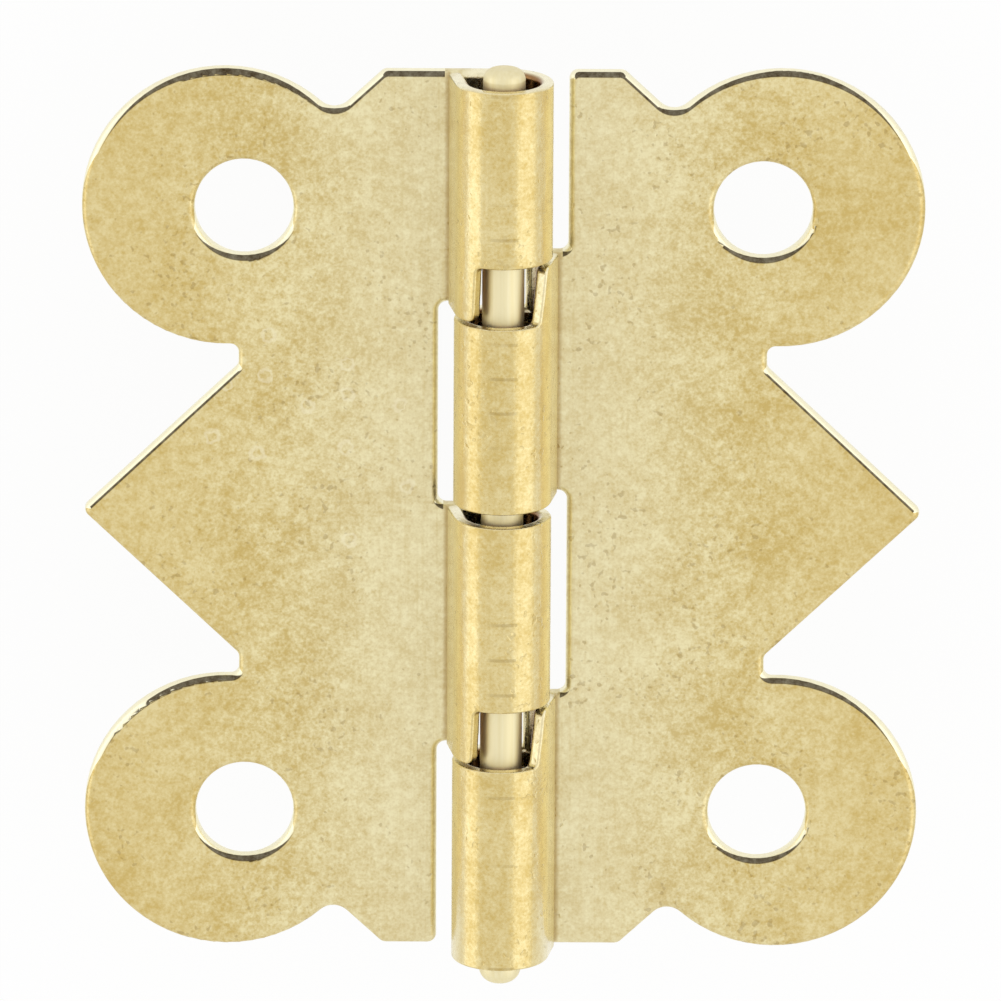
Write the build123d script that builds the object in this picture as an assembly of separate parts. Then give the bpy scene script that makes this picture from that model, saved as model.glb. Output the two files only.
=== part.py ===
from build123d import *
from math import cos, degrees, hypot, radians, sin, sqrt, tan
import os

os.makedirs("parts", exist_ok=True)

# A small stamped box hinge with two butterfly leaves and a loose wire pin.
# The leaves lie flat with their backs on z = 0, the barrel runs along Y
# through x = 0, and +Z is the side that the barrel stands out on.

# Sheet, with the rounding of the cut edges on the leaf's front, in the curl's bore and on the back
SHEET = 0.5
FRONT_ROLL = 0.26
BORE_ROLL = 0.2
BACK_ROLL = 0.08

# Barrel, rolled from the leaf sheet
BORE_DIA = 2.5
KNUCKLE_LENGTHS = (6.45, 6.85, 6.9, 7.5)
STOP_WINDOW = 2.2
MIDDLE_GAP = 0.5
RUNNING_GAP = 0.15
LIP_LEAN = 10.0
SEAM_GAP = 0.04

# Stop ears at the free end of the curl
FOLD_STOP = 85.0
STOP_SLACK = 0.5
LEFT_EAR_ROOT_ANGLE = 34.0
LEFT_EAR_TIP_ANGLE = 38.0
RIGHT_EAR_TAPER = 16.0
EAR_TIP_ROUND = 0.32
EAR_ROOT_FILLET = 0.25
BACK_EDGE_REACH = 0.78
BACK_EDGE_ROUND = 0.32

# Leaf outline, measured from the barrel axis and the middle of the leaf
LOBE_RADIUS = 5.1
LOBE_X = 9.85
WING_TIP_X = 15.02
WING_TIP_ROUND = 0.3
WING_ROOT_X = 9.4
WING_HALF_ANGLE = 43.8
WING_ROOT_WIDTH = 0.8
WING_ROOT_FILLET = 0.3
SHOULDER_X = 4.25
SHOULDER_ANGLE = 43.0
SHOULDER_ROUND = 0.35
NOTCH_FILLET = 0.7
SLOT_X = 2.3
SLOT_FILLET = 0.32
SLOT_MOUTH_ROUND = 0.32

# Screw holes
HOLE_DIA = 3.5
HOLE_X = 9.2
HOLE_SPACING = 22.5

# Pin
PIN_DIA = 1.5
PIN_SEAT_GAP = 0.03
PIN_TOP_PROUD = 0.6
PIN_BOTTOM_PROUD = 0.8
PIN_TOP_ROUND = 0.4
PIN_BOTTOM_ROUND = 0.55

# Worked out from the driving sizes
BORE_R = BORE_DIA / 2
BARREL_R = BORE_R + SHEET
MID_R = BORE_R + SHEET / 2
AXIS_Z = BARREL_R
BARREL_LENGTH = sum(KNUCKLE_LENGTHS) + 2 * STOP_WINDOW + MIDDLE_GAP
BARREL_END = BARREL_LENGTH / 2
LEAVE_ANGLE = 90 - LIP_LEAN
WING_HALF = (WING_TIP_X - WING_ROOT_X) * tan(radians(WING_HALF_ANGLE))
LOBE_FOOT_Y = WING_HALF + WING_ROOT_WIDTH
LOBE_Y = LOBE_FOOT_Y + sqrt(LOBE_RADIUS**2 - (LOBE_X - WING_ROOT_X) ** 2)
RIGHT_EAR_ROOT_ANGLE = FOLD_STOP + STOP_SLACK - LEFT_EAR_TIP_ANGLE
RIGHT_EAR_TIP_ANGLE = RIGHT_EAR_ROOT_ANGLE + RIGHT_EAR_TAPER


def knuckle_spans():
    """Upper and lower end of each knuckle along Y, from the top knuckle down."""
    gaps_below = (STOP_WINDOW, MIDDLE_GAP, STOP_WINDOW, 0)
    spans, top = [], BARREL_END
    for length, gap in zip(KNUCKLE_LENGTHS, gaps_below):
        spans.append((top, top - length))
        top -= length + gap
    return spans


def corner(sketch, x, y):
    """The corner of a sketch nearest to a point."""
    return sketch.vertices().sort_by_distance((x, y, 0))[0]


def rounded(sketch, points, radius):
    """Rounds the corners of a sketch that lie at the given points."""
    return fillet([corner(sketch, x, y) for x, y in points], radius)


def band(x_from, x_to, y_from, y_to):
    """A rectangle between two values of x and two of y."""
    low_x, low_y = min(x_from, x_to), min(y_from, y_to)
    size = Rectangle(abs(x_to - x_from), abs(y_to - y_from), align=Align.MIN)
    return Pos(low_x, low_y) * size


def shoulder_notch():
    """Where the sloping shoulder runs into the round of the lobe."""
    shoulder = Vector(SHOULDER_X, BARREL_END)
    slope = Vector(cos(radians(SHOULDER_ANGLE)), -sin(radians(SHOULDER_ANGLE)))
    from_lobe = shoulder - Vector(LOBE_X, LOBE_Y)
    along = from_lobe.dot(slope)
    run = -along - sqrt(along**2 - from_lobe.dot(from_lobe) + LOBE_RADIUS**2)
    return shoulder + slope * run


def leaf_blank():
    """The butterfly outline of one leaf, on the +X side, with its screw holes."""
    drop = tan(radians(SHOULDER_ANGLE))
    shoulder_foot = BARREL_END - (WING_ROOT_X - SHOULDER_X) * drop

    blank = Polygon(
        (0, BARREL_END),
        (0, -BARREL_END),
        (SHOULDER_X, -BARREL_END),
        (WING_ROOT_X, -shoulder_foot),
        (WING_ROOT_X, shoulder_foot),
        (SHOULDER_X, BARREL_END),
        align=None,
    )
    blank += Polygon(
        (WING_ROOT_X, WING_HALF), (WING_ROOT_X, -WING_HALF), (WING_TIP_X, 0), align=None
    )
    both = (1, -1)
    for up in both:
        blank += Pos(LOBE_X, up * LOBE_Y) * Circle(LOBE_RADIUS)

    notch = shoulder_notch()
    blank = rounded(blank, [(notch.X, up * notch.Y) for up in both], NOTCH_FILLET)
    blank = rounded(blank, [(SHOULDER_X, up * BARREL_END) for up in both], SHOULDER_ROUND)
    blank = rounded(blank, [(WING_ROOT_X, up * LOBE_FOOT_Y) for up in both], WING_ROOT_FILLET)
    blank = rounded(blank, [(WING_ROOT_X, up * WING_HALF) for up in both], WING_ROOT_FILLET)
    blank = rounded(blank, [(WING_TIP_X, 0)], WING_TIP_ROUND)
    for up in both:
        blank -= Pos(HOLE_X, up * HOLE_SPACING / 2) * Circle(HOLE_DIA / 2)
    return blank


def tab(span, ear_way):
    """One tab of a leaf along Y: its tube, its wider root, and the end of each on the ear's side."""
    upper, lower = span
    reach = STOP_WINDOW - RUNNING_GAP
    if ear_way > 0:
        root_end = upper + reach
        return {"tube": span, "root": (root_end, lower), "tube_end": upper, "root_end": root_end}
    root_end = lower - reach
    return {"tube": span, "root": (upper, root_end), "tube_end": lower, "root_end": root_end}


def leaf_plate(tabs):
    """The flat of one leaf, slotted between its tabs, with its edges rolled by the punch."""
    blank = leaf_blank()
    edges = [BARREL_END] + [y for tongue in tabs for y in tongue["root"]] + [-BARREL_END]
    gaps = zip(edges[0::2], edges[1::2])
    slots = [(upper, lower) for upper, lower in gaps if upper - lower > RUNNING_GAP]
    for upper, lower in slots:
        blank -= band(-SLOT_X, SLOT_X, upper, lower)
    for y in [y for slot in slots for y in slot]:
        at_mouth = abs(y) > BARREL_END - RUNNING_GAP
        blank = rounded(blank, [(SLOT_X, y)], SLOT_MOUTH_ROUND if at_mouth else SLOT_FILLET)
    for tongue in tabs:
        blank -= band(-SLOT_X, BACK_EDGE_REACH, tongue["tube_end"], tongue["root_end"])
        blank = rounded(blank, [(BACK_EDGE_REACH, tongue["root_end"])], BACK_EDGE_ROUND)

    plate = extrude(blank, SHEET)
    back = plate.faces().filter_by(Axis.Z).sort_by(Axis.Z)[0]
    plate = fillet(off_axis(back.outer_wire().edges()), BACK_ROLL)
    front = plate.faces().filter_by(Axis.Z).sort_by(Axis.Z)[-1]
    return fillet(off_axis(front.edges()), FRONT_ROLL)


def off_axis(edges):
    """The edges of the plate but for those under the barrel axis, where the curl goes on."""
    return [edge for edge in edges if edge.bounding_box().max.X > RUNNING_GAP]


def on_curl(radius, angle):
    """A point of the curl, at a radius from the barrel axis and an angle from +Z toward the leaf."""
    return (radius * sin(radians(angle)), AXIS_Z + radius * cos(radians(angle)))


def curl_section(start_angle):
    """The sheet's section round the barrel, from a start angle to the end of the straight lip."""
    halfway = (start_angle + LEAVE_ANGLE) / 2
    outer_leave, inner_leave = on_curl(BARREL_R, LEAVE_ANGLE), on_curl(BORE_R, LEAVE_ANGLE)
    fall = inner_leave[1] - SHEET - SEAM_GAP
    along = (fall * tan(radians(LIP_LEAN)), -fall)
    outer_tip = (outer_leave[0] + along[0], outer_leave[1] + along[1])
    inner_tip = (inner_leave[0] + along[0], inner_leave[1] + along[1])
    outline = [
        ThreePointArc(on_curl(BARREL_R, start_angle), on_curl(BARREL_R, halfway), outer_leave),
        Line(outer_leave, outer_tip),
        Line(outer_tip, inner_tip),
        Line(inner_tip, inner_leave),
        ThreePointArc(inner_leave, on_curl(BORE_R, halfway), on_curl(BORE_R, start_angle)),
        Line(on_curl(BORE_R, start_angle), on_curl(BARREL_R, start_angle)),
    ]
    section = make_face(outline)
    lip_corner = section.vertices().sort_by_distance((*outer_tip, 0))[0]
    return fillet([lip_corner], BORE_ROLL)


def along_barrel(section, upper, lower):
    """Carries a section of the barrel from one value of y down to another."""
    return extrude(Plane.XZ.offset(-upper) * section, upper - lower)


def ear(tube_end, root_end, root_angle, tip_angle):
    """The tongue left at the free end of a curl beside its knuckle, which meets its opposite as a stop."""
    way = 1 if root_end > tube_end else -1
    inside = tube_end - way * SHEET
    spare_angle = 2 * degrees(EAR_ROOT_FILLET / BORE_R)
    section = curl_section(root_angle - spare_angle)
    blank = along_barrel(section, max(inside, root_end), min(inside, root_end))

    # The stop face runs from the root angle at the knuckle to the tip angle at the ear's end.
    root_x, root_z = on_curl(MID_R, root_angle)
    tip_x, tip_z = on_curl(MID_R, tip_angle)
    root, tip = Vector(root_x, tube_end, root_z), Vector(tip_x, root_end, tip_z)
    middle = (root + tip) * 0.5
    outward = Vector(middle.X, 0, middle.Z - AXIS_Z)
    off_ear = outward.cross(tip - root) * way
    stop_face = Plane(origin=middle, x_dir=outward, z_dir=off_ear)
    block = 4 * BARREL_R
    waste = stop_face * Box(block, block, block, align=(Align.CENTER, Align.CENTER, Align.MIN))
    window = Pos(0, tube_end, AXIS_Z) * Box(
        block, block, block, align=(Align.CENTER, Align.MIN if way > 0 else Align.MAX, Align.CENTER)
    )
    waste &= window
    waste_corner = waste.edges().sort_by_distance(root)[0]
    tongue = blank - fillet([waste_corner], EAR_ROOT_FILLET)

    tip_corner = tongue.edges().filter_by(GeomType.LINE).sort_by_distance(tip)[0]
    return fillet([tip_corner], EAR_TIP_ROUND)


def cut_edges(body, radius):
    """The edges where the face of the curl at a radius meets the sheet's cut edge."""
    edges = [edge for edge in body.edges() if edge.geom_type != GeomType.LINE]
    places = {edge: [edge @ share for share in (0, 0.5, 1)] for edge in edges}
    return [
        edge
        for edge, points in places.items()
        if all(abs(hypot(point.X, point.Z - AXIS_Z) - radius) < SHEET / 50 for point in points)
    ]


def knuckle(tongue, root_angle, tip_angle):
    """The sheet turned up behind the axis, over the front and back onto its own leaf, with its stop ear."""
    rolled = along_barrel(curl_section(-180), *tongue["tube"])
    rolled += ear(tongue["tube_end"], tongue["root_end"], root_angle, tip_angle)
    rolled = fillet(cut_edges(rolled, BORE_R), BORE_ROLL)
    return fillet(cut_edges(rolled, BARREL_R), BACK_ROLL)


def leaf(spans, ear_way, root_angle, tip_angle, mirrored):
    """One stamped leaf with its knuckles and stop ears, built on +X and mirrored for the other side."""
    tabs = [tab(span, ear_way) for span in spans]
    body = leaf_plate(tabs)
    for tongue in tabs:
        body += knuckle(tongue, root_angle, tip_angle)
    return mirror(body, about=Plane.YZ) if mirrored else body


def pin():
    """The loose wire pin, drawn up against the front of the bores, its ends just proud of the barrel."""
    top = BARREL_END + PIN_TOP_PROUD
    bottom = -BARREL_END - PIN_BOTTOM_PROUD
    seat_z = AXIS_Z + BORE_R - PIN_SEAT_GAP - PIN_DIA / 2
    wire = Plane.XZ.offset(-top) * Pos(0, seat_z) * Circle(PIN_DIA / 2)
    wire = extrude(wire, top - bottom)
    rims = wire.edges().filter_by(GeomType.CIRCLE).sort_by(Axis.Y)
    wire = fillet([rims[-1]], PIN_TOP_ROUND)
    rims = wire.edges().filter_by(GeomType.CIRCLE).sort_by(Axis.Y)
    return fillet([rims[0]], PIN_BOTTOM_ROUND)


knuckles = knuckle_spans()
left_leaf = leaf(knuckles[0::2], -1, LEFT_EAR_ROOT_ANGLE, LEFT_EAR_TIP_ANGLE, True)
right_leaf = leaf(knuckles[1::2], 1, RIGHT_EAR_ROOT_ANGLE, RIGHT_EAR_TIP_ANGLE, False)
hinge_pin = pin()

for name, piece in (("left_leaf", left_leaf), ("right_leaf", right_leaf), ("hinge_pin", hinge_pin)):
    export_step(piece, f"parts/{name}.step")
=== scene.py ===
# %% [markdown]
# # A small box hinge in brass-plated steel
# The hinge is three pieces: two stamped butterfly leaves whose inner edges are rolled into knuckles,
# and a loose wire pin through them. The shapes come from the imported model, in metres, with the backs
# of the leaves on z = 0 and the barrel along Y. This lesson gives them their plating, a floor, light
# and a camera. The shapes stay as they are, so every finish here is a material. Blender's start-up
# cube, lamp and camera are removed first.

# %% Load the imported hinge
from math import cos, pi, radians, sin

import bpy
from mathutils import Matrix, Vector

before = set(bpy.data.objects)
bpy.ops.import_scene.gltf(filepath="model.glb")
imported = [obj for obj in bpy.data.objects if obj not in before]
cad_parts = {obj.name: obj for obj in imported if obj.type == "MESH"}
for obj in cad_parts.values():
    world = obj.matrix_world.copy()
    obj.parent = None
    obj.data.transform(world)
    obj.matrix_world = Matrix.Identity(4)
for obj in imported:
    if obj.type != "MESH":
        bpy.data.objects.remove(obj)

for name in ("Cube", "Light", "Camera"):
    start_up_object = bpy.data.objects.get(name)
    if start_up_object:
        bpy.data.objects.remove(start_up_object)

MM = 0.001
scene = bpy.context.scene
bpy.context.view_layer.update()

# %% [markdown]
# ## The camera
# The picture is taken almost square on: the camera stands above the leaves and leans a little toward
# +Y, so that the upper ends of the knuckles and the upper cut edges show. A long lens keeps the two
# leaves nearly the same size. The camera could be set by eye, but its lean, its distance and the size
# of a millimetre in the image were measured, so the place is worked out from those.

# %% Camera
IMAGE_SIDE = 1001
SENSOR = 36.0
CAMERA_LEAN = radians(17.3)
CAMERA_ROLL = radians(0.3)
CAMERA_AWAY = 450 * MM
PIXELS_PER_MM = 28.0
AIM_RIGHT = -0.06 * MM
AIM_UP = 0.28 * MM
CLIP_START = 10 * MM

away = Vector((0, sin(CAMERA_LEAN), cos(CAMERA_LEAN)))
right = Vector((1, 0, 0))
up = away.cross(right)
turned_right = right * cos(CAMERA_ROLL) + up * sin(CAMERA_ROLL)
turned_up = up * cos(CAMERA_ROLL) - right * sin(CAMERA_ROLL)
camera_place = away * CAMERA_AWAY + right * AIM_RIGHT + up * AIM_UP

camera = bpy.data.objects.new("camera", bpy.data.cameras.new("camera"))
camera.data.sensor_width = SENSOR
camera.data.lens = PIXELS_PER_MM / MM * CAMERA_AWAY / IMAGE_SIDE * SENSOR
camera.data.clip_start = CLIP_START
turn = Matrix((turned_right, turned_up, away)).transposed().to_4x4()
camera.matrix_world = Matrix.Translation(camera_place) @ turn
scene.collection.objects.link(camera)
scene.camera = camera
scene.view_settings.view_transform = "Standard"
print("lens in mm", round(camera.data.lens, 1))

# %% [markdown]
# ## Three small helpers
# Every material below is a tree of nodes. One function turns a colour from the usual six digits into
# the linear values that a shader works in. One adds a node, sets its properties and fills its inputs,
# either with a number or with another node's output. The last starts a material with an empty tree.

# %% Helpers for materials
def linear(digits):
    """A colour written as six sRGB digits, in linear values with an alpha of one."""
    parts = [int(digits[i : i + 2], 16) / 255 for i in (0, 2, 4)]
    return [p / 12.92 if p <= 0.04045 else ((p + 0.055) / 1.055) ** 2.4 for p in parts] + [1.0]


def put(tree, kind, inputs=None, **settings):
    """Adds a node to a tree, sets its properties and fills its inputs with values or outputs."""
    node = tree.nodes.new(kind)
    for name, value in settings.items():
        setattr(node, name, value)
    for key, value in (inputs or {}).items():
        if isinstance(value, bpy.types.NodeSocket):
            tree.links.new(value, node.inputs[key])
        else:
            node.inputs[key].default_value = value
    return node


def new_material(name):
    """A material with an empty tree."""
    material = bpy.data.materials.new(name)
    material.use_nodes = True
    material.node_tree.nodes.clear()
    return material


# %% [markdown]
# ## Floor, white surround and light
# A metal shows what stands round it, so the light is what makes plating look like plating. The hinge
# is held over a white sheet in a white surround, just high enough that a leaf folded back clears the
# sheet. More light could make the sheet white, but it would bleach the plating too, so the sheet and
# the surround are drawn white to the camera and to mirrored rays. The sheet keeps part of its own
# shading, so the hinge's shadow stays on it. Two soft boxes, a large one to the right and a low one
# to the left, give the two bright bands along the barrel. How bright a box looks is given as a share
# of white, and its watts follow from its area.

# %% Floor and surround
FLOOR_WHITE = "FAFAF8"
FLOOR_SIDE = 1200 * MM
FLOOR_DROP = 10.2 * MM
SHADOW_KEPT = 0.08
FILL_LIGHT = 0.9


def seen_as_white(tree):
    """One for rays from the camera, a mirror or glass, and zero for rays that only light."""
    path = put(tree, "ShaderNodeLightPath")
    seen = path.outputs["Is Camera Ray"]
    for ray in ("Is Glossy Ray", "Is Transmission Ray"):
        seen = put(tree, "ShaderNodeMath", {0: seen, 1: path.outputs[ray]}, operation="ADD").outputs[0]
    return seen


floor_paper = new_material("white_paper_floor")
tree = floor_paper.node_tree
glow_share = put(
    tree,
    "ShaderNodeMath",
    {0: seen_as_white(tree), 1: 1 - SHADOW_KEPT},
    operation="MULTIPLY",
)
paper = put(tree, "ShaderNodeBsdfDiffuse", {"Color": linear(FLOOR_WHITE)})
glow = put(tree, "ShaderNodeEmission", {"Color": linear("FFFFFF"), "Strength": 1.0})
mixed = put(
    tree,
    "ShaderNodeMixShader",
    {0: glow_share.outputs[0], 1: paper.outputs[0], 2: glow.outputs[0]},
)
put(tree, "ShaderNodeOutputMaterial", {"Surface": mixed.outputs[0]})

half = FLOOR_SIDE / 2
floor_corners = [(x, y, -FLOOR_DROP) for x, y in ((-half, -half), (half, -half), (half, half), (-half, half))]
floor_mesh = bpy.data.meshes.new("floor")
floor_mesh.from_pydata(floor_corners, [], [(0, 1, 2, 3)])
floor_mesh.materials.append(floor_paper)
floor = bpy.data.objects.new("floor", floor_mesh)
scene.collection.objects.link(floor)

world = bpy.data.worlds.new("white_surround")
world.use_nodes = True
scene.world = world
tree = world.node_tree
tree.nodes.clear()
strength = put(
    tree,
    "ShaderNodeMapRange",
    {"Value": seen_as_white(tree), "To Min": FILL_LIGHT, "To Max": 1.0},
)
surround = put(tree, "ShaderNodeBackground", {"Color": linear("FFFFFF"), "Strength": strength.outputs[0]})
put(tree, "ShaderNodeOutputWorld", {"Surface": surround.outputs[0]})
print("floor side in mm", round(FLOOR_SIDE / MM), "share of shadow kept", SHADOW_KEPT)


# %% Soft boxes
def facing_hinge(ob, side_angle, distance):
    """Places an object at an angle from overhead, over the X axis, looking at the hinge."""
    side = radians(side_angle)
    direction = Vector((sin(side), 0.0, cos(side)))
    aim = direction.to_track_quat("Z", "Y").to_matrix().to_4x4()
    ob.matrix_world = Matrix.Translation(direction * distance) @ aim


SOFT_BOX_AWAY = 300 * MM
SOFT_BOXES = {
    "right_soft_box": {"side": 54, "length": 420 * MM, "width": 260 * MM, "white": 0.4},
    "left_soft_box": {"side": -74, "length": 420 * MM, "width": 190 * MM, "white": 0.46},
}
for name, box in SOFT_BOXES.items():
    lamp = bpy.data.lights.new(name, "AREA")
    lamp.shape = "RECTANGLE"
    lamp.size = box["length"]
    lamp.size_y = box["width"]
    lamp.energy = box["white"] * pi * lamp.size * lamp.size_y
    soft_box = bpy.data.objects.new(name, lamp)
    facing_hinge(soft_box, box["side"], SOFT_BOX_AWAY)
    soft_box.visible_camera = False
    scene.collection.objects.link(soft_box)
    print(name, "watts", round(lamp.energy, 3))

# %% [markdown]
# ## The leaf plating: brass flashed on stamped steel
# The leaves are stamped from thin steel strip and tumbled in a plating barrel, which leaves a pale
# yellow brass film a few thousandths of a millimetre thick. To the eye it is a soft metal with a
# faint orange peel, cloudy where the film is thinner or has begun to tarnish. A picture of brass
# would not follow the part, so the film is made of layers of noise on Object coordinates, each with
# its size in millimetres. The first layers are broad clouds a few millimetres wide, mottling under a
# millimetre, and a grain of about a tenth.

# %% Clouds and mottling of the film
PALE_FILM = "EBE0B1"
GOLD_FILM = "C9B16E"
CLOUD_SIZE = 3.0
CLOUD_DRIFT = (5 * MM, 0.0, 0.0)
MOTTLE_SIZE = 0.42
GRAIN_SIZE = 0.11
CLOUD_WEIGHT = 0.55
GRAIN_WEIGHT = 0.5
LAYER_RANGE = (0.8, 1.25)

leaf_plating = new_material("brass_flash_on_steel")
tree = leaf_plating.node_tree
coordinates = put(tree, "ShaderNodeTexCoord")
place = coordinates.outputs["Object"]
axes = put(tree, "ShaderNodeSeparateXYZ", {0: place})
drift = put(tree, "ShaderNodeVectorMath", {0: place, 1: CLOUD_DRIFT}, operation="ADD")
clouds = put(
    tree,
    "ShaderNodeTexNoise",
    {"Vector": drift.outputs[0], "Scale": 1 / (CLOUD_SIZE * MM), "Detail": 2.0, "Roughness": 0.6},
)
mottle = put(
    tree,
    "ShaderNodeTexNoise",
    {"Vector": place, "Scale": 1 / (MOTTLE_SIZE * MM), "Detail": 3.0, "Roughness": 0.85},
)
both = put(
    tree,
    "ShaderNodeMath",
    {0: clouds.outputs[0], 1: CLOUD_WEIGHT, 2: mottle.outputs[0]},
    operation="MULTIPLY_ADD",
)
grain = put(
    tree,
    "ShaderNodeTexNoise",
    {"Vector": place, "Scale": 1 / (GRAIN_SIZE * MM), "Detail": 1.0},
)
layers = put(
    tree,
    "ShaderNodeMath",
    {0: grain.outputs[0], 1: GRAIN_WEIGHT, 2: both.outputs[0]},
    operation="MULTIPLY_ADD",
)
share = put(
    tree,
    "ShaderNodeMapRange",
    {"Value": layers.outputs[0], "From Min": LAYER_RANGE[0], "From Max": LAYER_RANGE[1]},
)
film = put(
    tree,
    "ShaderNodeMix",
    {0: share.outputs[0], 6: linear(GOLD_FILM), 7: linear(PALE_FILM)},
    data_type="RGBA",
)
print("clouds, mottling and grain in mm", CLOUD_SIZE, MOTTLE_SIZE, GRAIN_SIZE)

# %% [markdown]
# ## Where the film differs
# The film is paler beside the barrel, where the sheet was worked, and deeper gold on the outer lobes.
# On the barrel the flanks are painted pale as a sheen and the crown of the knuckles is painted a
# deeper gold as shade, the bright bands and darker middle that light lays on a round barrel. It could
# be painted on by hand, but all of it follows the distance from the barrel axis and the height, so
# those two give it.
# Rolling leaves faint lines along the barrel. A wave would be too even for them, so they are noise
# stretched along Y.

# %% Paler beside the barrel, deeper on the knuckles and lobes
AXIS_HEIGHT = 1.75 * MM
BARREL_FADE = (1.8 * MM, 2.1 * MM)
CROWN_FADE = (2.3 * MM, 3.1 * MM)
# The crown colour and its share are painted shade on the barrel; the flank colour and its share are a painted
# sheen.
FLANK_SHEEN_SHARE = 0.5
CROWN_PAINTED_SHADE = "D8BE78"
FLANK_PAINTED_SHEEN = "FBF4D6"
CROWN_SHADE_SHARE = 0.36
WORKED_PALE = "E9E1BD"
WORKED_REACH = (2.0 * MM, 9.0 * MM)
WORKED_SHARE = 0.45
LOBE_GOLD = "D3B86F"
LOBE_REACH = (6.0 * MM, 14.0 * MM)
LOBE_SHARE = 0.4
LINE_WIDTH = 0.16
LINE_RUN = 5.0
LINE_REACH = (2.5 * MM, 6.0 * MM)
LINE_FAR = 0.15
LINE_RANGE = (0.5, 0.8)
LINE_SHARE = 0.3

from_axis = put(tree, "ShaderNodeMath", {0: axes.outputs["X"]}, operation="ABSOLUTE")
across = put(tree, "ShaderNodeCombineXYZ", {0: from_axis.outputs[0], 1: 0.0, 2: axes.outputs["Z"]})
from_centre = put(
    tree,
    "ShaderNodeVectorMath",
    {0: across.outputs[0], 1: (0.0, 0.0, AXIS_HEIGHT)},
    operation="DISTANCE",
)
on_barrel = put(
    tree,
    "ShaderNodeMapRange",
    {
        "Value": from_centre.outputs["Value"],
        "From Min": BARREL_FADE[0],
        "From Max": BARREL_FADE[1],
        "To Min": 1.0,
        "To Max": 0.0,
    },
)
high = put(
    tree,
    "ShaderNodeMapRange",
    {"Value": axes.outputs["Z"], "From Min": CROWN_FADE[0], "From Max": CROWN_FADE[1]},
)
crown = put(tree, "ShaderNodeMath", {0: on_barrel.outputs[0], 1: high.outputs[0]}, operation="MULTIPLY")
# Painted shade: the crown of the knuckles is painted a deeper gold.
crown_painted_shade = put(tree, "ShaderNodeMath", {0: crown.outputs[0], 1: CROWN_SHADE_SHARE}, operation="MULTIPLY")
off_crown = put(tree, "ShaderNodeMath", {0: 1.0, 1: crown.outputs[0]}, operation="SUBTRACT")
# Painted highlight: the flanks of the barrel are painted pale as a sheen.
flank_painted_sheen = put(tree, "ShaderNodeMath", {0: on_barrel.outputs[0], 1: off_crown.outputs[0]}, operation="MULTIPLY")
flank_painted_sheen = put(tree, "ShaderNodeMath", {0: flank_painted_sheen.outputs[0], 1: FLANK_SHEEN_SHARE}, operation="MULTIPLY")
worked = put(
    tree,
    "ShaderNodeMapRange",
    {
        "Value": from_axis.outputs[0],
        "From Min": WORKED_REACH[0],
        "From Max": WORKED_REACH[1],
        "To Min": WORKED_SHARE,
        "To Max": 0.0,
    },
    interpolation_type="SMOOTHSTEP",
)
worked = put(tree, "ShaderNodeMath", {0: worked.outputs[0], 1: off_crown.outputs[0]}, operation="MULTIPLY")
lobes = put(
    tree,
    "ShaderNodeMapRange",
    {
        "Value": from_axis.outputs[0],
        "From Min": LOBE_REACH[0],
        "From Max": LOBE_REACH[1],
        "To Min": 0.0,
        "To Max": LOBE_SHARE,
    },
    interpolation_type="SMOOTHSTEP",
)
along = put(
    tree,
    "ShaderNodeMapping",
    {"Vector": place, "Scale": (1 / (LINE_WIDTH * MM), 1 / (LINE_RUN * MM), 1 / (LINE_WIDTH * MM))},
)
lines = put(tree, "ShaderNodeTexNoise", {"Vector": along.outputs[0], "Scale": 1.0, "Detail": 2.0})
rolled = put(
    tree,
    "ShaderNodeMapRange",
    {
        "Value": lines.outputs[0],
        "From Min": LINE_RANGE[0],
        "From Max": LINE_RANGE[1],
        "To Max": LINE_SHARE,
    },
)
near_barrel = put(
    tree,
    "ShaderNodeMapRange",
    {
        "Value": from_axis.outputs[0],
        "From Min": LINE_REACH[0],
        "From Max": LINE_REACH[1],
        "To Min": 1.0,
        "To Max": LINE_FAR,
    },
)
rolled = put(tree, "ShaderNodeMath", {0: rolled.outputs[0], 1: near_barrel.outputs[0]}, operation="MULTIPLY")
FILM_COLOURS = (
    (worked, WORKED_PALE),
    (crown_painted_shade, CROWN_PAINTED_SHADE),
    (flank_painted_sheen, FLANK_PAINTED_SHEEN),
    (lobes, LOBE_GOLD),
    (rolled, GOLD_FILM),
)
for mask, colour in FILM_COLOURS:
    film = put(
        tree,
        "ShaderNodeMix",
        {0: mask.outputs[0], 6: film.outputs[2], 7: linear(colour)},
        data_type="RGBA",
    )
print("roll lines in mm", LINE_WIDTH, "by", LINE_RUN)

# %% [markdown]
# ## Specks and dried rings
# Small brown specks sit in loose clusters where the film has broken through. They could be scattered
# as small discs, but real ones are ragged. So one fine noise gives their shape, and one broad noise
# says where the clusters lie. The barrel, which was rubbed, has few. On the left leaf a few drops
# dried and left rings about half a millimetre across: cells round random points, drawn only near
# one place.

# %% Specks and rings
SPECK_SIZE = 0.26
SPECK_CLUSTER = 2.6
SPECK_BROWN = "7A5810"
SPECK_LIMITS = (0.76, 0.57)
SPECK_SOFT = 0.1
CLUSTER_RANGE = (0.35, 0.7)
LEAF_SPECKS = 0.3
BARREL_SPECKS = 0.12
RING_CELL = 1.6
RING_RADIUS = 0.14
RING_PLACE = (-7.4 * MM, 2.6 * MM, 0.0)
RING_REACH = 4.6 * MM
RING_WANDER = 0.3 * MM
RING_SKIPPED = 0.55
RING_LINE = (0.01, 0.06)
RING_PALE = "F3EBCB"
RING_SHARE = 0.4

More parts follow.
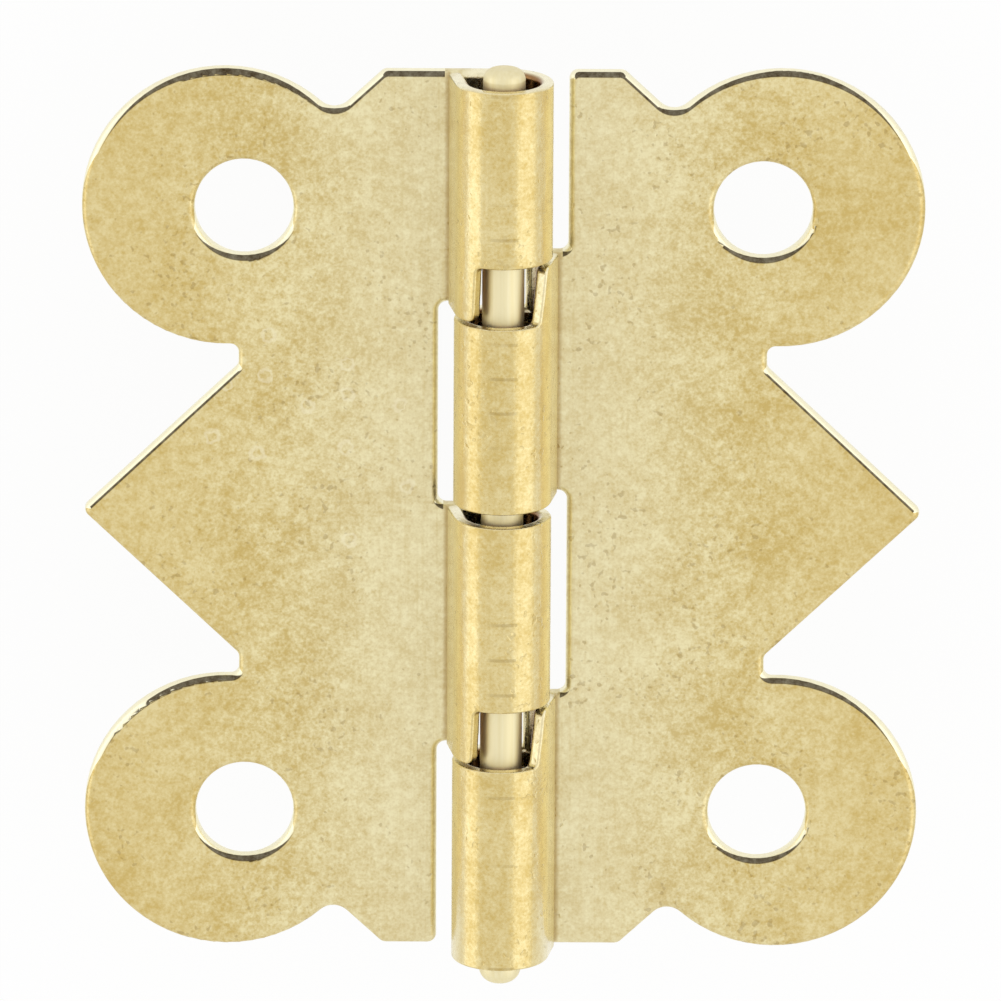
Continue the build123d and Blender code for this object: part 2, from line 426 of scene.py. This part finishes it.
fine = put(
    tree,
    "ShaderNodeTexNoise",
    {"Vector": place, "Scale": 1 / (SPECK_SIZE * MM), "Detail": 1.0},
)
cluster = put(
    tree,
    "ShaderNodeTexNoise",
    {"Vector": place, "Scale": 1 / (SPECK_CLUSTER * MM), "Detail": 1.0},
)
limit = put(
    tree,
    "ShaderNodeMapRange",
    {
        "Value": cluster.outputs[0],
        "From Min": CLUSTER_RANGE[0],
        "From Max": CLUSTER_RANGE[1],
        "To Min": SPECK_LIMITS[0],
        "To Max": SPECK_LIMITS[1],
    },
)
speck_depth = put(
    tree,
    "ShaderNodeMath",
    {0: fine.outputs[0], 1: limit.outputs[0]},
    operation="SUBTRACT",
)
speck = put(
    tree,
    "ShaderNodeMapRange",
    {"Value": speck_depth.outputs[0], "From Max": SPECK_SOFT},
    interpolation_type="SMOOTHSTEP",
)
speck_share = put(
    tree,
    "ShaderNodeMapRange",
    {"Value": on_barrel.outputs[0], "To Min": LEAF_SPECKS, "To Max": BARREL_SPECKS},
)
speck_share = put(
    tree,
    "ShaderNodeMath",
    {0: speck.outputs[0], 1: speck_share.outputs[0]},
    operation="MULTIPLY",
)
film = put(
    tree,
    "ShaderNodeMix",
    {0: speck_share.outputs[0], 6: film.outputs[2], 7: linear(SPECK_BROWN)},
    data_type="RGBA",
)

wander = put(
    tree,
    "ShaderNodeVectorMath",
    {0: fine.outputs[1], 1: (RING_WANDER, RING_WANDER, RING_WANDER), 2: place},
    operation="MULTIPLY_ADD",
)
cells = put(
    tree,
    "ShaderNodeTexVoronoi",
    {"Vector": wander.outputs[0], "Scale": 1 / (RING_CELL * MM)},
    voronoi_dimensions="2D",
)
dice = put(tree, "ShaderNodeSeparateColor", {0: cells.outputs["Color"]})
drawn = put(tree, "ShaderNodeMath", {0: dice.outputs[0], 1: RING_SKIPPED}, operation="GREATER_THAN")
from_drops = put(tree, "ShaderNodeVectorMath", {0: place, 1: RING_PLACE}, operation="DISTANCE")
wet = put(tree, "ShaderNodeMath", {0: from_drops.outputs["Value"], 1: RING_REACH}, operation="LESS_THAN")
drop = put(tree, "ShaderNodeMath", {0: drawn.outputs[0], 1: wet.outputs[0]}, operation="MULTIPLY")
off_ring = put(tree, "ShaderNodeMath", {0: cells.outputs["Distance"], 1: RING_RADIUS}, operation="SUBTRACT")
off_ring = put(tree, "ShaderNodeMath", {0: off_ring.outputs[0]}, operation="ABSOLUTE")
ring = put(
    tree,
    "ShaderNodeMapRange",
    {
        "Value": off_ring.outputs[0],
        "From Min": RING_LINE[0],
        "From Max": RING_LINE[1],
        "To Min": RING_SHARE,
        "To Max": 0.0,
    },
    interpolation_type="SMOOTHSTEP",
)
ring = put(tree, "ShaderNodeMath", {0: ring.outputs[0], 1: drop.outputs[0]}, operation="MULTIPLY")
film = put(
    tree,
    "ShaderNodeMix",
    {0: ring.outputs[0], 6: film.outputs[2], 7: linear(RING_PALE)},
    data_type="RGBA",
)
print("specks in mm", SPECK_SIZE, "rings in mm", round(2 * RING_RADIUS * RING_CELL, 2))

# %% [markdown]
# ## Painted shade in the curl, painted highlights and a painted reflection on the edges
# The bore inside a knuckle is painted brown as shade, and the seam where the curl comes down on its
# leaf is painted darker as shade in the crease. The punched edges are painted pale as a highlight,
# more widely where they face +Y, and so are the rims of the knuckles that face +Y. A dark line is
# painted in the rounding that the punch leaves along the edges toward +Y, widest where an edge faces
# +Y and gone where it turns away: a painted reflection of something dark on that side, broken into
# patches by the mottling. It could be a dark card mirrored in the edge, but such a card blackens the
# leaves from other sides, so the reflection is painted into the colour. The bore and the seam are
# found by distance from the barrel axis and from the seam line, and the edges by the way that the
# surface faces.

# %% Bore, seam and edges
# Colours and shares for painted shade in the bore and seam, painted highlights on the edges and a painted
# reflection in the edge rounding.
BORE_PAINTED_SHADE = "86551E"
BORE_FADE = (1.28 * MM, 1.45 * MM)
BORE_SHADE_SHARE = 0.9
SEAM_PAINTED_SHADE = "A07E38"
SEAM_LINE = (1.95 * MM, 0.0, 0.53 * MM)
SEAM_FADE = (0.03 * MM, 0.2 * MM)
SEAM_SHADE_SHARE = 0.55
EDGE_PAINTED_HIGHLIGHT = "FFFADC"
EDGE_HIGHLIGHT_SHARE = 0.85
EDGE_START = 2.1 * MM
EDGE_TURN = (0.15, 0.4)
EDGE_LIMITS = (0.4, 0.95)
ROLL_PAINTED_REFLECTION = "3C2C16"
ROLL_REFLECTION_SHARE = 0.98
ROLL_TAPER = 4.0
ROLL_SOFT = 0.05
ROLL_LIMITS = (0.985, 0.42)
ROLL_FLAT = (0.965, 0.99)
ROLL_BREAKUP_RANGE = (0.3, 0.7)
ROLL_BREAKUP_SHARE = 0.82
RIM_TURN = (0.4, 0.8)
RIM_HIGHLIGHT_SHARE = 0.4

# Painted shade: the bore inside the knuckle is painted brown.
bore_painted_shade = put(
    tree,
    "ShaderNodeMapRange",
    {
        "Value": from_centre.outputs["Value"],
        "From Min": BORE_FADE[0],
        "From Max": BORE_FADE[1],
        "To Min": BORE_SHADE_SHARE,
        "To Max": 0.0,
    },
    interpolation_type="SMOOTHSTEP",
)
# Painted shade: the crease of the seam is painted darker.
from_seam = put(tree, "ShaderNodeVectorMath", {0: across.outputs[0], 1: SEAM_LINE}, operation="DISTANCE")
seam_painted_shade = put(
    tree,
    "ShaderNodeMapRange",
    {
        "Value": from_seam.outputs["Value"],
        "From Min": SEAM_FADE[0],
        "From Max": SEAM_FADE[1],
        "To Min": SEAM_SHADE_SHARE,
        "To Max": 0.0,
    },
    interpolation_type="SMOOTHSTEP",
)

normal = put(tree, "ShaderNodeSeparateXYZ", {0: coordinates.outputs["Normal"]})
level = put(tree, "ShaderNodeCombineXYZ", {0: normal.outputs["X"], 1: normal.outputs["Y"], 2: 0.0})
level = put(tree, "ShaderNodeVectorMath", {0: level.outputs[0]}, operation="NORMALIZE")
toward_y = put(tree, "ShaderNodeSeparateXYZ", {0: level.outputs[0]})
off_curl = put(tree, "ShaderNodeMath", {0: from_axis.outputs[0], 1: EDGE_START}, operation="GREATER_THAN")

# Painted highlight: the punched edges are painted pale, more widely where they face +Y.
edge_limit = put(
    tree,
    "ShaderNodeMapRange",
    {
        "Value": toward_y.outputs["Y"],
        "From Min": EDGE_TURN[0],
        "From Max": EDGE_TURN[1],
        "To Min": EDGE_LIMITS[0],
        "To Max": EDGE_LIMITS[1],
    },
)
steep = put(tree, "ShaderNodeMath", {0: normal.outputs["Z"]}, operation="ABSOLUTE")
steep = put(tree, "ShaderNodeMath", {0: steep.outputs[0], 1: edge_limit.outputs[0]}, operation="LESS_THAN")
cut_edge_painted_highlight = put(tree, "ShaderNodeMath", {0: steep.outputs[0], 1: off_curl.outputs[0]}, operation="MULTIPLY")
cut_edge_painted_highlight = put(tree, "ShaderNodeMath", {0: cut_edge_painted_highlight.outputs[0], 1: EDGE_HIGHLIGHT_SHARE}, operation="MULTIPLY")

# Painted reflection: a dark line is painted in the edge rounding that faces +Y.
facing_y = put(tree, "ShaderNodeMath", {0: toward_y.outputs["Y"], 1: 0.0}, operation="MAXIMUM")
facing_y = put(tree, "ShaderNodeMath", {0: facing_y.outputs[0], 1: ROLL_TAPER}, operation="POWER")
roll_limit = put(
    tree,
    "ShaderNodeMapRange",
    {"Value": facing_y.outputs[0], "To Min": ROLL_LIMITS[0], "To Max": ROLL_LIMITS[1]},
)
above_limit = put(
    tree,
    "ShaderNodeMath",
    {0: normal.outputs["Z"], 1: roll_limit.outputs[0]},
    operation="SUBTRACT",
)
roll_painted_reflection = put(
    tree,
    "ShaderNodeMapRange",
    {"Value": above_limit.outputs[0], "From Max": ROLL_SOFT, "To Max": ROLL_REFLECTION_SHARE},
)
off_flat = put(
    tree,
    "ShaderNodeMapRange",
    {
        "Value": normal.outputs["Z"],
        "From Min": ROLL_FLAT[0],
        "From Max": ROLL_FLAT[1],
        "To Min": 1.0,
        "To Max": 0.0,
    },
)
# Breaks the painted reflection line into patches by the mottling.
roll_reflection_breakup = put(
    tree,
    "ShaderNodeMapRange",
    {
        "Value": mottle.outputs[0],
        "From Min": ROLL_BREAKUP_RANGE[0],
        "From Max": ROLL_BREAKUP_RANGE[1],
        "To Min": 1.0,
        "To Max": ROLL_BREAKUP_SHARE,
    },
)
for mask in (off_flat, off_curl, roll_reflection_breakup):
    roll_painted_reflection = put(tree, "ShaderNodeMath", {0: roll_painted_reflection.outputs[0], 1: mask.outputs[0]}, operation="MULTIPLY")
# Painted highlight: the knuckle rims that face +Y are painted pale.
rim_painted_highlight = put(
    tree,
    "ShaderNodeMapRange",
    {
        "Value": normal.outputs["Y"],
        "From Min": RIM_TURN[0],
        "From Max": RIM_TURN[1],
        "To Max": RIM_HIGHLIGHT_SHARE,
    },
)
rim_painted_highlight = put(tree, "ShaderNodeMath", {0: rim_painted_highlight.outputs[0], 1: on_barrel.outputs[0]}, operation="MULTIPLY")
# Painted highlights, the painted reflection and painted shade are mixed into the film colour here.
EDGE_COLOURS = (
    (cut_edge_painted_highlight, EDGE_PAINTED_HIGHLIGHT),
    (rim_painted_highlight, EDGE_PAINTED_HIGHLIGHT),
    (roll_painted_reflection, ROLL_PAINTED_REFLECTION),
    (seam_painted_shade, SEAM_PAINTED_SHADE),
    (bore_painted_shade, BORE_PAINTED_SHADE),
)
for mask, colour in EDGE_COLOURS:
    film = put(
        tree,
        "ShaderNodeMix",
        {0: mask.outputs[0], 6: film.outputs[2], 7: linear(colour)},
        data_type="RGBA",
    )
print("seam line in mm", [round(value / MM, 2) for value in SEAM_LINE])

# %% [markdown]
# ## Relief and gloss
# The relief is very shallow: orange peel from the bath, the specks a little sunk, and short marks
# across the crown of the knuckles, where the rolling tool chattered. It could be modelled, but at a
# hundredth of a millimetre a bump shows the same with far fewer faces. The marks are a wave along Y
# whose crests alone are kept, on the crown and in patches. Blender's wave turns 20 radians in one
# unit, and its scale comes from that and the spacing. Gloss changes with the clouds, because tarnish
# is duller than fresh film, and the rubbed barrel is the glossiest.

# %% Relief, gloss and shader of the leaves
PEEL_SIZE = 0.22
WAVE_RADIANS = 20
MARK_SPACING = 1.3
MARK_WANDER = 1.2
MARK_WANDER_SCALE = 0.4
MARK_HEIGHT = 3.41 * MM
MARK_FADE = 0.05 * MM
MARK_CREST = (0.965, 0.995)
MARK_PATCH = (0.42, 0.6)
MARK_SHADE = 0.28
RELIEF_STRENGTH = 0.5
RELIEF_DEPTH = 0.02 * MM
GOLD_ROUGHNESS = 0.42
PALE_ROUGHNESS = 0.3
BARREL_POLISH = 0.1

peel = put(tree, "ShaderNodeTexNoise", {"Vector": place, "Scale": 1 / (PEEL_SIZE * MM), "Detail": 2.0})
row = put(
    tree,
    "ShaderNodeTexWave",
    {
        "Vector": place,
        "Scale": 2 * pi / (WAVE_RADIANS * MARK_SPACING * MM),
        "Distortion": MARK_WANDER,
        "Detail": 0.0,
        "Detail Scale": MARK_WANDER_SCALE,
    },
    bands_direction="Y",
)
mark = put(
    tree,
    "ShaderNodeMapRange",
    {"Value": row.outputs[1], "From Min": MARK_CREST[0], "From Max": MARK_CREST[1]},
    interpolation_type="SMOOTHSTEP",
)
patchy = put(
    tree,
    "ShaderNodeMapRange",
    {"Value": cluster.outputs[0], "From Min": MARK_PATCH[0], "From Max": MARK_PATCH[1]},
)
mark = put(tree, "ShaderNodeMath", {0: mark.outputs[0], 1: patchy.outputs[0]}, operation="MULTIPLY")
on_top = put(
    tree,
    "ShaderNodeMapRange",
    {"Value": axes.outputs["Z"], "From Min": MARK_HEIGHT, "From Max": MARK_HEIGHT + MARK_FADE},
    interpolation_type="SMOOTHSTEP",
)
mark = put(tree, "ShaderNodeMath", {0: mark.outputs[0], 1: on_top.outputs[0]}, operation="MULTIPLY")
sunk = put(tree, "ShaderNodeMath", {0: mark.outputs[0], 1: speck.outputs[0]}, operation="ADD")
height = put(tree, "ShaderNodeMath", {0: peel.outputs[0], 1: sunk.outputs[0]}, operation="SUBTRACT")
relief = put(
    tree,
    "ShaderNodeBump",
    {"Height": height.outputs[0], "Strength": RELIEF_STRENGTH, "Distance": RELIEF_DEPTH},
)
mark_shade = put(tree, "ShaderNodeMath", {0: mark.outputs[0], 1: MARK_SHADE}, operation="MULTIPLY")
film = put(
    tree,
    "ShaderNodeMix",
    {0: mark_shade.outputs[0], 6: film.outputs[2], 7: linear(SPECK_BROWN)},
    data_type="RGBA",
)
dull = put(
    tree,
    "ShaderNodeMapRange",
    {
        "Value": layers.outputs[0],
        "From Min": LAYER_RANGE[0],
        "From Max": LAYER_RANGE[1],
        "To Min": GOLD_ROUGHNESS,
        "To Max": PALE_ROUGHNESS,
    },
)
dull = put(
    tree,
    "ShaderNodeMath",
    {0: on_barrel.outputs[0], 1: -BARREL_POLISH, 2: dull.outputs[0]},
    operation="MULTIPLY_ADD",
)
plating = put(
    tree,
    "ShaderNodeBsdfPrincipled",
    {
        "Base Color": film.outputs[2],
        "Metallic": 1.0,
        "Roughness": dull.outputs[0],
        "Normal": relief.outputs[0],
    },
)
put(tree, "ShaderNodeOutputMaterial", {"Surface": plating.outputs[0]})
for name in ("left_leaf", "right_leaf"):
    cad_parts[name].material_slots[0].material = leaf_plating
print("leaf plating nodes", len(tree.nodes))

# %% [markdown]
# ## The pin: drawn wire
# The pin is a length of drawn wire under the same film, a little paler and duller than the leaves.
# Drawing leaves fine lines along it. The leaf plating would do from far off, but it has no such
# lines, so the pin has a film of its own, with its clouding stretched along Y.

# %% Pin wire
WIRE_PALE = "F3EBC9"
WIRE_GOLD = "E4D6A4"
DRAW_LINE = 0.12
DRAW_RUN = 6.0
WIRE_ROUGHNESS = 0.5
WIRE_RELIEF = 0.2
WIRE_DEPTH = 0.01 * MM

pin_plating = new_material("brass_flash_on_drawn_wire")
tree = pin_plating.node_tree
place = put(tree, "ShaderNodeTexCoord").outputs["Object"]
stretched = put(
    tree,
    "ShaderNodeMapping",
    {"Vector": place, "Scale": (1 / (DRAW_LINE * MM), 1 / (DRAW_RUN * MM), 1 / (DRAW_LINE * MM))},
)
draw_lines = put(tree, "ShaderNodeTexNoise", {"Vector": stretched.outputs[0], "Scale": 1.0, "Detail": 3.0})
wire = put(
    tree,
    "ShaderNodeMix",
    {0: draw_lines.outputs[0], 6: linear(WIRE_GOLD), 7: linear(WIRE_PALE)},
    data_type="RGBA",
)
wire_relief = put(
    tree,
    "ShaderNodeBump",
    {"Height": draw_lines.outputs[0], "Strength": WIRE_RELIEF, "Distance": WIRE_DEPTH},
)
wire_face = put(
    tree,
    "ShaderNodeBsdfPrincipled",
    {
        "Base Color": wire.outputs[2],
        "Metallic": 1.0,
        "Roughness": WIRE_ROUGHNESS,
        "Normal": wire_relief.outputs[0],
    },
)
put(tree, "ShaderNodeOutputMaterial", {"Surface": wire_face.outputs[0]})
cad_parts["hinge_pin"].material_slots[0].material = pin_plating
print("pin nodes", len(tree.nodes))
